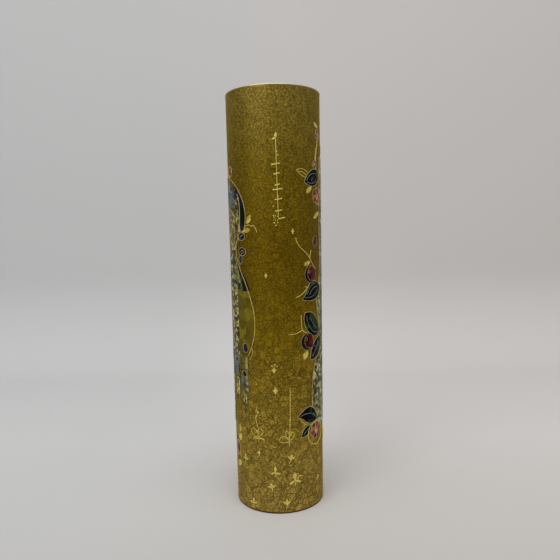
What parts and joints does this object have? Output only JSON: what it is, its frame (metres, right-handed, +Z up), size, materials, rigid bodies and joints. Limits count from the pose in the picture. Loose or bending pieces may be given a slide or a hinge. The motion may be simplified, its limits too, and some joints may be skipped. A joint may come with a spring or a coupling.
{
  "type": "cloisonne vase",
  "caption": "Tall straight cylindrical vase with a gold crackle enamel ground, wire-fenced enamel flowers, leaves and mosaic panels, a gilt lip ring and a plain foot ring.",
  "frame": {"origin": "centre of the foot ring's resting face", "axes": "+Z up along the vase's axis, the decorated front faces -Y, +X is to the viewer's right"},
  "size_m": [0.091, 0.091, 0.405],
  "materials": {
    "copper": "dull",
    "gilt_ring": "polished",
    "dark_foot": "satin",
    "solder": "dull",
    "ground": "gloss",
    "lining": "gloss",
    "cloison": "polished",
    "pale_cloison": "satin",
    "worn_cloison": "satin",
    "silver_wire": "satin",
    "rose_shade": "gloss",
    "white": "gloss",
    "rose_red": "gloss",
    "rose_heart": "gloss",
    "leaf_dark": "gloss",
    "gilt_leaf": "gloss",
    "trunk": "gloss",
    "bead": "gloss",
    "navy": "gloss",
    "olive": "gloss",
    "sky": "gloss",
    "meadow": "gloss",
    "rosette": "gloss",
    "teal": "gloss",
    "mosaic": "gloss",
    "pale": "gloss",
    "grey": "gloss"
  },
  "bodies": {
    "root": {"body_tube": "copper", "base_disc": "copper", "foot_ring": "dark_foot", "lip_ring": "gilt_ring", "base_solder": "solder", "ground_enamel": "ground", "lining_enamel": "lining", "floor_enamel": "lining", "underside_enamel": "lining", "fruit_cloisons": "pale_cloison", "fruit_eye_enamels": "rose_red", "fruit_red_enamels": "rose_red", "fruit_shade_enamels": "rose_shade", "rose_cloisons": "pale_cloison", "rose_heart_enamels": "rose_heart", "rose_petal_enamels": "rose_red", "petal_ring_cloisons": "cloison", "leaf_cloisons": "pale_cloison", "leaf_vein_wires": "silver_wire", "dark_leaf_enamels": "leaf_dark", "gilt_leaf_veins": "cloison", "gilt_leaf_enamels": "gilt_leaf", "twig_cloisons": "cloison", "trunk_cloisons": "pale_cloison", "trunk_lattice_wires": "worn_cloison", "trunk_enamels": "trunk", "contour_cloisons": "pale_cloison", "bead_cloisons": "pale_cloison", "bead_enamels": "bead", "white_star_enamels": "white", "roundel_cloisons": "worn_cloison", "roundel_navy_enamels": "navy", "roundel_olive_enamels": "olive", "roundel_sky_enamels": "sky", "roundel_meadow_enamels": "meadow", "rosette_enamels": "rosette", "drape_cloisons": "worn_cloison", "drape_navy_enamels": "navy", "drape_olive_enamels": "olive", "drape_teal_enamels": "teal", "drape_mosaic_enamels": "mosaic", "tail_cloisons": "worn_cloison", "tail_pale_enamels": "pale", "tail_grey_enamels": "grey", "tail_mosaic_enamels": "mosaic", "left_flower_cloisons": "cloison", "left_flower_enamels": "rose_red", "ticked_stem_cloisons": "cloison", "pendant_cloisons": "cloison", "gilt_fleurons": "cloison"}
  },
  "joints": []
}
